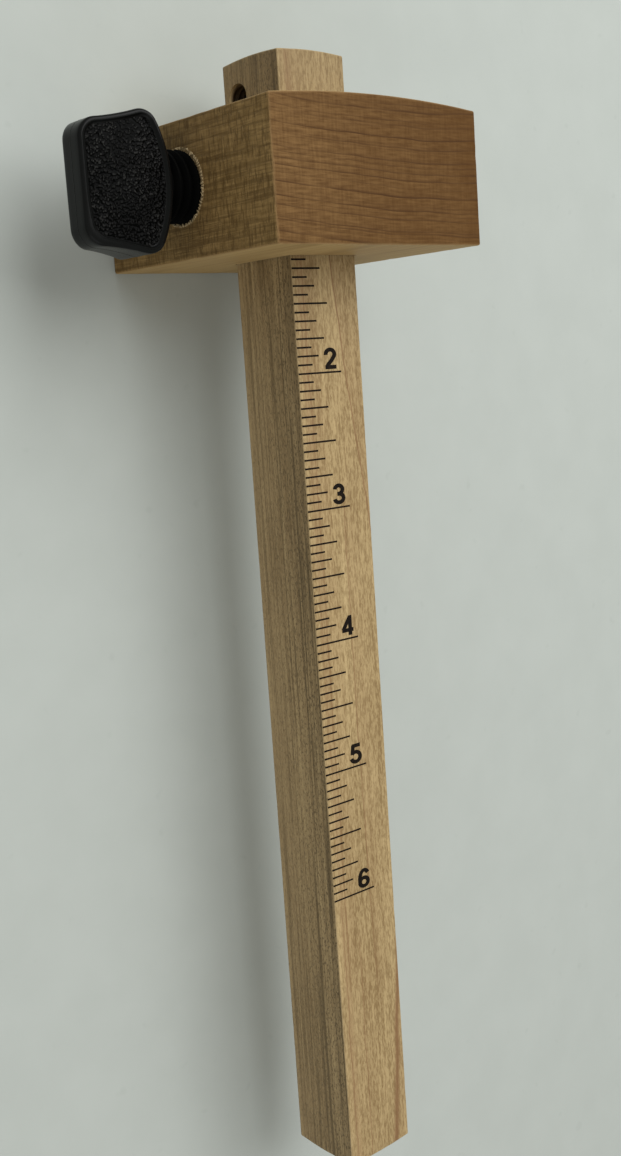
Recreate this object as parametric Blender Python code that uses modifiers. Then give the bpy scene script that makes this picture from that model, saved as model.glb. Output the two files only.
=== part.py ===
# Marking gauge: a square wooden beam, a block-shaped wooden head that slides on it, a moulded
# thumb screw that clamps the head through a brass shoe, and a steel scribing pin set by a slotted screw.
# X runs along the beam from the pin's end, +Z is the side that carries the scale, and the thumb
# screw points along -Y. The origin is under the middle of the whole object, on its base plane.
import math

import bmesh
import bpy
from mathutils import Matrix

# Beam
BEAM_LENGTH = 0.2159
BEAM_WIDTH = 0.0159
BEAM_CROWN = 0.0008
BEAM_ARRIS = 0.00035
BEAM_END_CUTS = 5
ZERO_FROM_END = 0.0073

# Head
HEAD_WIDTH = 0.0492
HEAD_HEIGHT = 0.0492
HEAD_THICKNESS = 0.0254
HEAD_ARCH = 0.0012
HEAD_ARCH_CUTS = 11
HEAD_ARRIS = 0.0005
FENCE_READING = 0.02945
SLIDE_GAP = 0.0003

# Thumb screw
SCREW_DIAMETER = 0.0127
SCREW_PITCH = 0.00195
SCREW_THREAD_DEPTH = 0.0011
SCREW_DROP = 0.0012
SCREW_TIP_CHAMFER = 0.0012
SCREW_STEPS = 24
THREAD_GAP = 0.0003
GRIP_OUTER = 0.0465
GRIP_CORNER = 0.0336
GRIP_NECK_BULGE = 0.0032
GRIP_OUTER_LENGTH = 0.0206
GRIP_NECK_LENGTH = 0.0250
GRIP_WAIST = 0.0004
GRIP_OUTER_THICKNESS = 0.0056
GRIP_NECK_THICKNESS = 0.0110
GRIP_OUTER_RADIUS = 0.0028
GRIP_NECK_RADIUS = 0.0022
GRIP_EDGE = 0.0007
GRIP_PANEL_RIM = 0.0006
GRIP_PANEL_DEPTH = 0.0004
GRIP_SIDE_SHARES = (0.3, 0.43, 0.57, 0.72)
GRIP_NECK_SHARES = (0.72, 0.58, 0.44, 0.3, 0.15, 0.0)
NECK_SINK = 0.0020

# Shoe between the screw's tip and the beam
SHOE_THICKNESS = 0.0020
SHOE_CHAMFER = 0.0003
SHOE_GAP = 0.0003
SHOE_SIDE_GAP = 0.0003

# Scribing pin and the screw behind it
RECESS_DIAMETER = 0.0056
RECESS_DROP = 0.0037
RECESS_THREAD_PITCH = 0.00127
RECESS_THREAD_DEPTH = 0.0005
RECESS_STEPS = 20
SET_SCREW_DEPTH = 0.0032
SET_SCREW_LENGTH = 0.0045
SET_SCREW_CHAMFER = 0.0004
SLOT_WIDTH = 0.0009
SLOT_DEPTH = 0.0012
PIN_DIAMETER = 0.0024
PIN_FLANGE_THICKNESS = 0.0012
PIN_PROJECTION = 0.0030
PIN_POINT_LENGTH = 0.0028
PIN_POINT_FLAT = 0.0002
PIN_TRAVEL = 0.00127
PIN_GAP = 0.0003

# Cutters run past what they cut by this much
OVERRUN = 0.0020
WELD = 0.00001
ROUND_SEGMENTS = 32
TRIM_TURN = math.radians(4)

# Places that follow from the sizes above
AXIS_Y = (GRIP_OUTER - HEAD_WIDTH / 2) / 2
AXIS_Z = HEAD_HEIGHT / 2
ZERO_X = ZERO_FROM_END - BEAM_LENGTH / 2
FENCE_X = ZERO_X + FENCE_READING
HEAD_X = FENCE_X - HEAD_THICKNESS / 2
SCREW_Z = AXIS_Z - SCREW_DROP
PIN_Z = AXIS_Z - RECESS_DROP
MORTISE_HALF = BEAM_WIDTH / 2 + SLIDE_GAP
SHOE_FACE = BEAM_WIDTH / 2 + SHOE_GAP
SCREW_TIP = SHOE_FACE + SHOE_THICKNESS + SHOE_GAP
SCREW_MINOR = SCREW_DIAMETER / 2 - SCREW_THREAD_DEPTH
SET_SCREW_MAJOR = RECESS_DIAMETER / 2 - THREAD_GAP
SET_SCREW_MINOR = SET_SCREW_MAJOR - RECESS_THREAD_DEPTH
SET_SCREW_FACE = BEAM_WIDTH / 2 - SET_SCREW_DEPTH
PIN_SEAT = SET_SCREW_FACE - SET_SCREW_LENGTH - PIN_GAP
RECESS_END = PIN_SEAT - PIN_FLANGE_THICKNESS - PIN_TRAVEL - PIN_GAP

# What cuts and turns along the screws' axis is made along +Z and laid over towards -Y
OUTWARD = Matrix.Rotation(math.pi / 2, 4, "X")


def clear_scene():
    for item in list(bpy.data.objects):
        bpy.data.objects.remove(item, do_unlink=True)


def collection(name):
    made = bpy.data.collections.new(name)
    bpy.context.scene.collection.children.link(made)
    return made


def material(name, colour, roughness, metallic=0.0):
    made = bpy.data.materials.new(name)
    made.use_nodes = True
    shader = made.node_tree.nodes["Principled BSDF"]
    shader.inputs["Base Color"].default_value = (*colour, 1.0)
    shader.inputs["Roughness"].default_value = roughness
    shader.inputs["Metallic"].default_value = metallic
    return made


def object_from(bm, name, group, place, finish=None):
    bmesh.ops.recalc_face_normals(bm, faces=bm.faces)
    mesh = bpy.data.meshes.new(name)
    bm.to_mesh(mesh)
    bm.free()
    made = bpy.data.objects.new(name, mesh)
    made.location = place
    group.objects.link(made)
    if finish:
        mesh.materials.append(finish)
        mesh.shade_smooth()
        mesh.set_sharp_from_angle(angle=math.radians(35))
    return made


def boolean(target, tool, operation):
    step = target.modifiers.new(tool.name, "BOOLEAN")
    step.operation = operation
    step.object = tool
    tool.hide_render = True
    tool.display_type = "WIRE"


def bevelled(target, width, segments=1):
    step = target.modifiers.new("arris", "BEVEL")
    step.width = width
    step.segments = segments
    step.limit_method = "ANGLE"
    step.angle_limit = math.radians(50)
    step.harden_normals = False


def welded(target):
    step = target.modifiers.new("weld", "WELD")
    step.merge_threshold = WELD


def block(size_x, size_y, size_z):
    bm = bmesh.new()
    bmesh.ops.create_cube(bm, size=1.0)
    bmesh.ops.scale(bm, vec=(size_x, size_y, size_z), verts=bm.verts)
    return bm


def turned(profile, segments, turn=0.0):
    """A solid turned about Z from (radius, height) points that start and end on the axis."""
    bm = bmesh.new()
    points = [bm.verts.new((radius * math.cos(turn), radius * math.sin(turn), height))
              for radius, height in profile]
    edges = [bm.edges.new(pair) for pair in zip(points[:-1], points[1:])]
    bmesh.ops.spin(bm, geom=points + edges, cent=(0, 0, 0), axis=(0, 0, 1), angle=2 * math.pi,
                   steps=segments, use_merge=True)
    bmesh.ops.remove_doubles(bm, verts=bm.verts, dist=WELD)
    return bm


def threaded(major, minor, pitch, low, high, steps):
    """A right-hand threaded solid about Z that covers low to high, with ragged ends to be trimmed.
    One tooth is a quarter of the pitch each of root, flank, crest and flank. All threads
    count from Z zero, so a screw meshes with its hole, less half a step that keeps points off the
    planes that trim it."""
    quarter = pitch / 4
    first = math.floor(low / pitch) - 2
    teeth = math.ceil(high / pitch) + 2 - first
    start = first * pitch - pitch / (2 * steps)
    bm = bmesh.new()
    points = []
    for tooth in range(teeth):
        base = start + tooth * pitch
        for share, radius in enumerate((minor, minor, major, major)):
            points.append(bm.verts.new((radius, 0.0, base + share * quarter)))
    edges = [bm.edges.new(pair) for pair in zip(points[:-1], points[1:])]
    bmesh.ops.spin(bm, geom=points + edges, cent=(0, 0, 0), axis=(0, 0, 1), angle=2 * math.pi,
                   steps=steps, dvec=(0, 0, pitch / steps))
    bmesh.ops.remove_doubles(bm, verts=bm.verts, dist=WELD)
    bmesh.ops.holes_fill(bm, edges=[edge for edge in bm.edges if edge.is_boundary])
    bmesh.ops.triangulate(bm, faces=[face for face in bm.faces if len(face.verts) > 4])
    return bm


def make_beam(parts, cutters, finish):
    bm = block(BEAM_LENGTH, BEAM_WIDTH, BEAM_WIDTH)
    ends = [edge for edge in bm.edges if abs(edge.verts[0].co.x - edge.verts[1].co.x) < WELD]
    bmesh.ops.subdivide_edges(bm, edges=ends, cuts=BEAM_END_CUTS, use_grid_fill=True)
    corner = BEAM_WIDTH * BEAM_WIDTH / 2
    for vert in bm.verts:
        fall = BEAM_CROWN * (vert.co.y ** 2 + vert.co.z ** 2) / corner
        vert.co.x -= math.copysign(fall, vert.co.x)
    beam = object_from(bm, "beam", parts, (0, AXIS_Y, AXIS_Z), finish)
    bevelled(beam, BEAM_ARRIS)

    depth = BEAM_WIDTH / 2 - RECESS_END
    low = BEAM_WIDTH / 2 - depth
    high = BEAM_WIDTH / 2 + OVERRUN
    thread = threaded(RECESS_DIAMETER / 2, RECESS_DIAMETER / 2 - RECESS_THREAD_DEPTH,
                      RECESS_THREAD_PITCH, low, high, RECESS_STEPS)
    bmesh.ops.transform(thread, matrix=OUTWARD, verts=thread.verts)
    recess = object_from(thread, "recess_cutter", cutters, (ZERO_X, AXIS_Y, PIN_Z))
    trim = turned([(0, high), (RECESS_DIAMETER, high), (RECESS_DIAMETER, low), (0, low)], RECESS_STEPS,
                  TRIM_TURN)
    bmesh.ops.transform(trim, matrix=OUTWARD, verts=trim.verts)
    trimmer = object_from(trim, "recess_trimmer", cutters, (ZERO_X, AXIS_Y, PIN_Z))
    boolean(recess, trimmer, "INTERSECT")

    reach = BEAM_WIDTH / 2 + OVERRUN
    radius = PIN_DIAMETER / 2 + PIN_GAP
    bore = turned([(0, low + OVERRUN), (radius, low + OVERRUN), (radius, -reach), (0, -reach)],
                  RECESS_STEPS)
    bmesh.ops.transform(bore, matrix=OUTWARD, verts=bore.verts)
    pin_bore = object_from(bore, "pin_bore_cutter", cutters, (ZERO_X, AXIS_Y, PIN_Z))
    boolean(beam, recess, "DIFFERENCE")
    boolean(beam, pin_bore, "DIFFERENCE")
    welded(beam)


def make_head(parts, cutters, finish):
    bm = block(HEAD_THICKNESS, HEAD_WIDTH, HEAD_HEIGHT)
    half = HEAD_THICKNESS / 2
    arched = [edge for edge in bm.edges
              if max(vert.co.x for vert in edge.verts) < 0
              and abs(edge.verts[0].co.z - edge.verts[1].co.z) < WELD]
    bmesh.ops.subdivide_edges(bm, edges=arched, cuts=HEAD_ARCH_CUTS)
    for vert in bm.verts:
        if vert.co.x < 0:
            vert.co.x = HEAD_ARCH * (vert.co.y / (HEAD_WIDTH / 2)) ** 2 - half
    head = object_from(bm, "head", parts, (HEAD_X, AXIS_Y, AXIS_Z), finish)
    bevelled(head, HEAD_ARRIS)

    mortise_bm = block(HEAD_THICKNESS + 2 * OVERRUN, 2 * MORTISE_HALF, 2 * MORTISE_HALF)
    mortise = object_from(mortise_bm, "mortise_cutter", cutters, (HEAD_X, AXIS_Y, AXIS_Z))
    boolean(head, mortise, "DIFFERENCE")

    high = HEAD_WIDTH / 2 + OVERRUN
    thread = threaded(SCREW_DIAMETER / 2 + THREAD_GAP, SCREW_MINOR + THREAD_GAP, SCREW_PITCH,
                      0, high, SCREW_STEPS)
    bmesh.ops.transform(thread, matrix=OUTWARD, verts=thread.verts)
    hole = object_from(thread, "screw_hole_cutter", cutters, (HEAD_X, AXIS_Y, SCREW_Z))
    trim = turned([(0, high), (SCREW_DIAMETER, high), (SCREW_DIAMETER, 0), (0, 0)], SCREW_STEPS, TRIM_TURN)
    bmesh.ops.transform(trim, matrix=OUTWARD, verts=trim.verts)
    trimmer = object_from(trim, "screw_hole_trimmer", cutters, (HEAD_X, AXIS_Y, SCREW_Z))
    boolean(hole, trimmer, "INTERSECT")
    boolean(head, hole, "DIFFERENCE")
    welded(head)


def grip_outline():
    """Half of the grip's outline, from the outer end round to the neck side, as (along, outward)."""
    outer = GRIP_OUTER_LENGTH / 2
    neck = GRIP_NECK_LENGTH / 2
    side = []
    for share in GRIP_SIDE_SHARES:
        dip = GRIP_WAIST * math.sin(math.pi * share)
        side.append((outer + (neck - outer) * share - dip, GRIP_OUTER + (GRIP_CORNER - GRIP_OUTER) * share))
    bulge = [(neck * share, GRIP_CORNER - GRIP_NECK_BULGE * (1 - share ** 2)) for share in GRIP_NECK_SHARES]
    return [(outer, GRIP_OUTER)] + side + [(neck, GRIP_CORNER)] + bulge


def broad_faces(bm):
    """The two faces with the most corners, which are the grip's broad ones."""
    return sorted(bm.faces, key=lambda face: len(face.verts))[-2:]


def make_grip():
    """The paddle-shaped grip, a wedge thicker towards its neck, with a sunk panel in both broad faces."""
    half = grip_outline()
    right = [(along, -out) for along, out in half]
    left = [(-along, -out) for along, out in reversed(half[:-1])]
    bm = bmesh.new()
    ring = [bm.verts.new((x, y, -1.0)) for x, y in right + left]
    base = bm.faces.new(ring)
    lifted = bmesh.ops.extrude_face_region(bm, geom=[base])
    for vert in lifted["geom"]:
        if isinstance(vert, bmesh.types.BMVert):
            vert.co.z = 1.0
    bmesh.ops.recalc_face_normals(bm, faces=bm.faces)
    for length, depth, radius in ((GRIP_OUTER_LENGTH, GRIP_OUTER, GRIP_OUTER_RADIUS),
                                  (GRIP_NECK_LENGTH, GRIP_CORNER, GRIP_NECK_RADIUS)):
        corners = [edge for edge in bm.edges
                   if abs(edge.verts[0].co.x - edge.verts[1].co.x) < WELD
                   and all(abs(abs(vert.co.x) - length / 2) < WELD and abs(vert.co.y + depth) < WELD
                           for vert in edge.verts)]
        bmesh.ops.bevel(bm, geom=corners, offset=radius, segments=5, affect="EDGES", profile=0.5,
                        offset_type="OFFSET")
    for vert in bm.verts:
        share = (GRIP_OUTER + vert.co.y) / (GRIP_OUTER - GRIP_CORNER)
        thickness = GRIP_OUTER_THICKNESS + (GRIP_NECK_THICKNESS - GRIP_OUTER_THICKNESS) * share
        vert.co.z *= thickness / 2
    bm.normal_update()
    rims = [edge for face in broad_faces(bm) for edge in face.edges]
    bmesh.ops.bevel(bm, geom=rims, offset=GRIP_EDGE, segments=2, affect="EDGES", profile=0.5)
    bm.normal_update()
    broad = broad_faces(bm)
    bmesh.ops.inset_region(bm, faces=broad, thickness=GRIP_PANEL_RIM, use_even_offset=True)
    bmesh.ops.inset_region(bm, faces=broad, thickness=GRIP_PANEL_DEPTH, depth=-GRIP_PANEL_DEPTH,
                           use_even_offset=True)
    return bm


def make_thumb_screw(parts, cutters, finish):
    bm = make_grip()
    place = (HEAD_X, AXIS_Y, SCREW_Z)
    screw = object_from(bm, "thumb_screw", parts, place, finish)

    high = GRIP_CORNER - GRIP_NECK_BULGE + NECK_SINK
    radius = SCREW_DIAMETER / 2
    thread = threaded(radius, SCREW_MINOR, SCREW_PITCH, 0, high, SCREW_STEPS)
    bmesh.ops.transform(thread, matrix=OUTWARD, verts=thread.verts)
    shank = object_from(thread, "shank_tool", cutters, place)
    trim = turned([(0, high), (radius * 2, high), (radius * 2, SCREW_TIP + radius + SCREW_TIP_CHAMFER),
                   (radius - SCREW_TIP_CHAMFER, SCREW_TIP), (0, SCREW_TIP)], ROUND_SEGMENTS, TRIM_TURN)
    bmesh.ops.transform(trim, matrix=OUTWARD, verts=trim.verts)
    trimmer = object_from(trim, "shank_trimmer", cutters, place)
    boolean(shank, trimmer, "INTERSECT")
    boolean(screw, shank, "UNION")
    welded(screw)


def make_shoe(parts, finish):
    radius = SCREW_MINOR + THREAD_GAP - SHOE_SIDE_GAP
    bm = turned([(0, SHOE_FACE + SHOE_THICKNESS), (radius - SHOE_CHAMFER, SHOE_FACE + SHOE_THICKNESS),
                 (radius, SHOE_FACE + SHOE_THICKNESS - SHOE_CHAMFER), (radius, SHOE_FACE + SHOE_CHAMFER),
                 (radius - SHOE_CHAMFER, SHOE_FACE), (0, SHOE_FACE)], ROUND_SEGMENTS)
    bmesh.ops.transform(bm, matrix=OUTWARD, verts=bm.verts)
    object_from(bm, "wear_shoe", parts, (HEAD_X, AXIS_Y, SCREW_Z), finish)


def make_set_screw(parts, cutters, finish):
    low = SET_SCREW_FACE - SET_SCREW_LENGTH
    place = (ZERO_X, AXIS_Y, PIN_Z)
    thread = threaded(SET_SCREW_MAJOR, SET_SCREW_MINOR, RECESS_THREAD_PITCH, low, SET_SCREW_FACE,
                      RECESS_STEPS)
    bmesh.ops.transform(thread, matrix=OUTWARD, verts=thread.verts)
    screw = object_from(thread, "pin_screw", parts, place, finish)
    wide = SET_SCREW_MAJOR + THREAD_GAP
    trim = turned([(0, SET_SCREW_FACE), (SET_SCREW_MAJOR - SET_SCREW_CHAMFER, SET_SCREW_FACE),
                   (wide, SET_SCREW_FACE - SET_SCREW_CHAMFER - wide + SET_SCREW_MAJOR),
                   (wide, low + SET_SCREW_CHAMFER + wide - SET_SCREW_MAJOR),
                   (SET_SCREW_MAJOR - SET_SCREW_CHAMFER, low), (0, low)], RECESS_STEPS, TRIM_TURN)
    bmesh.ops.transform(trim, matrix=OUTWARD, verts=trim.verts)
    boolean(screw, object_from(trim, "pin_screw_trimmer", cutters, place), "INTERSECT")
    slot = block(RECESS_DIAMETER + OVERRUN, SLOT_DEPTH + OVERRUN, SLOT_WIDTH)
    middle = AXIS_Y - SET_SCREW_FACE + (SLOT_DEPTH - OVERRUN) / 2
    boolean(screw, object_from(slot, "slot_cutter", cutters, (ZERO_X, middle, PIN_Z)), "DIFFERENCE")
    welded(screw)


def make_pin(parts, finish):
    flange = SET_SCREW_MINOR - PIN_GAP / 2
    radius = PIN_DIAMETER / 2
    shoulder = PIN_SEAT - PIN_FLANGE_THICKNESS
    tip = -BEAM_WIDTH / 2 - PIN_PROJECTION
    bm = turned([(0, PIN_SEAT), (flange, PIN_SEAT), (flange, shoulder), (radius, shoulder),
                 (radius, tip + PIN_POINT_LENGTH), (PIN_POINT_FLAT, tip), (0, tip)], ROUND_SEGMENTS)
    bmesh.ops.transform(bm, matrix=OUTWARD, verts=bm.verts)
    object_from(bm, "scribing_pin", parts, (ZERO_X, AXIS_Y, PIN_Z), finish)


def main():
    clear_scene()
    parts = collection("marking_gauge")
    cutters = collection("cutters")
    make_beam(parts, cutters, material("beam_wood", (0.42, 0.27, 0.13), 0.5))
    make_head(parts, cutters, material("head_wood", (0.27, 0.15, 0.07), 0.55))
    make_thumb_screw(parts, cutters, material("black_plastic", (0.012, 0.012, 0.013), 0.45))
    make_shoe(parts, material("brass", (0.62, 0.42, 0.16), 0.35, 1.0))
    make_set_screw(parts, cutters, material("screw_steel", (0.36, 0.36, 0.37), 0.4, 1.0))
    make_pin(parts, material("pin_steel", (0.45, 0.45, 0.46), 0.3, 1.0))


main()
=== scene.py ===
# Looks of a wooden marking gauge: figured wood, printed inch scale, moulded clamp screw.
import math

import bmesh
import bpy
from mathutils import Matrix, Vector, noise


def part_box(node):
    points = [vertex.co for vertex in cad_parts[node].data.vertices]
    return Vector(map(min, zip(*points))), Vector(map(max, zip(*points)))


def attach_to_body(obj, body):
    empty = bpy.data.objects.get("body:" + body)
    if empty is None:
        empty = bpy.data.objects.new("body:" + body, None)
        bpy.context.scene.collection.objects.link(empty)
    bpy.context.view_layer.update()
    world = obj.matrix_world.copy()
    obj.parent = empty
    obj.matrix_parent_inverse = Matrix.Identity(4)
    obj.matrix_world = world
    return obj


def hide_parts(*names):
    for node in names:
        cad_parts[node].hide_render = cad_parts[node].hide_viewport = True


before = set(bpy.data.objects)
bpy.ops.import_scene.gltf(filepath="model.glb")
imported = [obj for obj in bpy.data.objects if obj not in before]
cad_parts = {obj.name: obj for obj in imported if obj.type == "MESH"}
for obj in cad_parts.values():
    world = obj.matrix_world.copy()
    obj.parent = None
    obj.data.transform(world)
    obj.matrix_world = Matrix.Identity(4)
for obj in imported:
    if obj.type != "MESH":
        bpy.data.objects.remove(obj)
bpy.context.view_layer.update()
scene = bpy.context.scene
mm = 0.001
inch = 25.4 * mm

beamLow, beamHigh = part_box("beam")
headLow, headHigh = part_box("head")
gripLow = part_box("thumb_screw")[0]
shoeLow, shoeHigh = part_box("wear_shoe")
pinLow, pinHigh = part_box("scribing_pin")
setLow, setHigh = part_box("pin_screw")
beamAxis = (beamLow + beamHigh) / 2
screwAxis = (shoeLow + shoeHigh) / 2
pinAxis = (pinLow + pinHigh) / 2
knobPlace = Vector((screwAxis.x, beamAxis.y, screwAxis.z))
pinPlace = Vector((pinAxis.x, beamAxis.y, pinAxis.z))
towardsKnob = Matrix.Rotation(math.pi / 2, 4, "X")  # lays a shape made along +Z over towards -Y
past = 2.0 * mm  # cutters run past what they cut by this much
touching = 0.001 * mm  # points closer than this are the same point


def height(y):
    # distances along the screws count from the beam's axis towards the knob
    return beamAxis.y - y


# meshes

def newObject(name, data):
    made = bpy.data.objects.new(name, data)
    scene.collection.objects.link(made)
    return made


def newPiece(name, bm, *materials):
    mesh = bpy.data.meshes.new(name)
    bm.to_mesh(mesh)
    bm.free()
    for material in materials:
        mesh.materials.append(material)
    return newObject(name, mesh)


def settle(piece):
    # turns the piece and its modifiers into one plain mesh
    bpy.context.view_layer.update()
    ready = piece.evaluated_get(bpy.context.evaluated_depsgraph_get())
    mesh = bpy.data.meshes.new_from_object(ready)
    piece.modifiers.clear()
    piece.data = mesh


def combine(piece, tool, operation):
    # cuts the tool out of the piece, joins it on, or keeps what they share
    step = piece.modifiers.new("combine", "BOOLEAN")
    step.operation = operation
    step.object = tool
    settle(piece)
    bpy.data.objects.remove(tool)


def smoothed(piece, degrees):
    piece.data.shade_smooth()
    piece.data.set_sharp_from_angle(angle=math.radians(degrees))


def attach(piece, body, slot, *replaced):
    for node in replaced:
        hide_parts(node)
    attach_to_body(piece, body)


def gridBlock(low, high, cuts):
    # a box between two corners, cut evenly along each axis
    bm = bmesh.new()
    bmesh.ops.create_cube(bm, size=1.0)
    bmesh.ops.scale(bm, vec=high - low, verts=bm.verts)
    bmesh.ops.translate(bm, vec=(low + high) / 2, verts=bm.verts)
    for axis, count in enumerate(cuts):
        along = [edge for edge in bm.edges
                 if abs((edge.verts[0].co - edge.verts[1].co).normalized()[axis]) > 0.99]
        bmesh.ops.subdivide_edges(bm, edges=along, cuts=count, use_grid_fill=True)
    return bm


chipping = {"sharpTurn": 1.0, "finer": 2.7, "spared": 0.08}


def easeArrises(bm, look):
    # rounds the sharp edges a little, and knocks large and finer chips out of them
    sharp = [edge for edge in bm.edges
             if len(edge.link_faces) == 2 and edge.calc_face_angle() > chipping["sharpTurn"]]
    eased = bmesh.ops.bevel(bm, geom=sharp, offset=look["arrisWidth"], segments=3, profile=0.5,
                            affect="EDGES")
    bm.normal_update()
    for vert in eased["verts"]:
        spot = vert.co / look["chipSize"]
        wear = noise.noise(spot) * 0.5 + noise.noise(spot * chipping["finer"]) * 0.5
        vert.co -= vert.normal * look["chip"] * max(0.0, wear - chipping["spared"])


def spun(profile, steps, pitch=0.0):
    # sweeps (radius, along) points once round, and along by the pitch
    bm = bmesh.new()
    points = [bm.verts.new((radius, 0.0, along)) for radius, along in profile]
    edges = [bm.edges.new(pair) for pair in zip(points[:-1], points[1:])]
    bmesh.ops.spin(bm, geom=points + edges, cent=(0, 0, 0), axis=(0, 0, 1), angle=2 * math.pi,
                   steps=steps, dvec=(0, 0, pitch / steps), use_merge=pitch == 0.0)
    bmesh.ops.remove_doubles(bm, verts=bm.verts, dist=touching)
    return bm


def laidOver(name, bm, place):
    # a piece of a shape made along +Z, which then looks towards the knob
    bmesh.ops.recalc_face_normals(bm, faces=bm.faces)
    bmesh.ops.transform(bm, matrix=Matrix.Translation(place) @ towardsKnob, verts=bm.verts)
    return newPiece(name, bm)


def turned(name, profile, place, steps=64):
    # a solid from a profile that starts and ends on the axis
    return laidOver(name, spun(profile, steps), place)


# one tooth of a thread: shares of its pitch, and of its depth
threadTooth = ((0.0, 0.0), (0.22, 0.03), (0.36, 0.5), (0.52, 0.96), (0.625, 1.0), (0.73, 0.96), (0.89, 0.5))
trimSteps = 5  # the trim has this many sides more than the thread, so that their faces don't fall together


def threaded(name, thread, clearance, profile, place, steps=64):
    # a right-hand thread, made with two ragged turns more at each end and cut to a profile
    major = thread["major"] + clearance
    minor = major - thread["depth"]
    pitch = thread["pitch"]
    low, high = profile[-1][1], profile[0][1]
    first = math.floor(low / pitch) - 2
    last = math.ceil(high / pitch) + 2
    teeth = [(minor + (major - minor) * rise, (tooth + share) * pitch)
             for tooth in range(first, last) for share, rise in threadTooth]
    bm = spun(teeth, steps, pitch)
    bmesh.ops.holes_fill(bm, edges=[edge for edge in bm.edges if edge.is_boundary])
    bmesh.ops.triangulate(bm, faces=[face for face in bm.faces if len(face.verts) > 4])
    piece = laidOver(name, bm, place)
    combine(piece, turned("trim", profile, place, steps + trimSteps), "INTERSECT")
    return piece


def tap(piece, thread, mouth, bottom, place):
    # cuts a threaded hole with some room round its screw
    wide = thread["major"] * 2
    cutter = threaded("tap", thread, thread["clearance"],
                      [(0, mouth), (wide, mouth), (wide, bottom), (0, bottom)], place)
    combine(piece, cutter, "DIFFERENCE")


# node trees: shaders for the finishes, geometry trees for what repeats

class Graph:
    def __init__(self, tree):
        self.tree = tree

    def put(self, socket, value):
        # gives a socket its value or its link, where a node stands for its first output
        if isinstance(value, bpy.types.Node):
            value = value.outputs[0]
        if isinstance(value, bpy.types.NodeSocket):
            self.tree.links.new(value, socket)
        elif socket.type == "RGBA":
            socket.default_value = (*value, 1.0)
        else:
            socket.default_value = value

    def add(self, kind, inputs=(), **settings):
        made = self.tree.nodes.new(kind)
        for key, value in settings.items():
            setattr(made, key, value)
        for key, value in dict(inputs).items():
            self.put(made.inputs[key], value)
        return made

    def math(self, operation, a, b=0.0):
        return self.add("ShaderNodeMath", {0: a, 1: b}, operation=operation)

    def plus(self, a, b):
        return self.math("ADD", a, b)

    def minus(self, a, b):
        return self.math("SUBTRACT", a, b)

    def times(self, a, b):
        return self.math("MULTIPLY", a, b)

    def level(self, value, low, high, start=0.0, end=1.0):
        # start at low, end at high, and straight between
        return self.add("ShaderNodeMapRange", {0: value, 1: low, 2: high, 3: start, 4: end})


# a growth line over its spacing: places, and how dark it is there
lineShape = ((0.0, 0.0), (0.5, 0.05), (0.80, 0.30), (0.89, 1.0), (0.94, 0.7), (0.98, 0.0))


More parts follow.
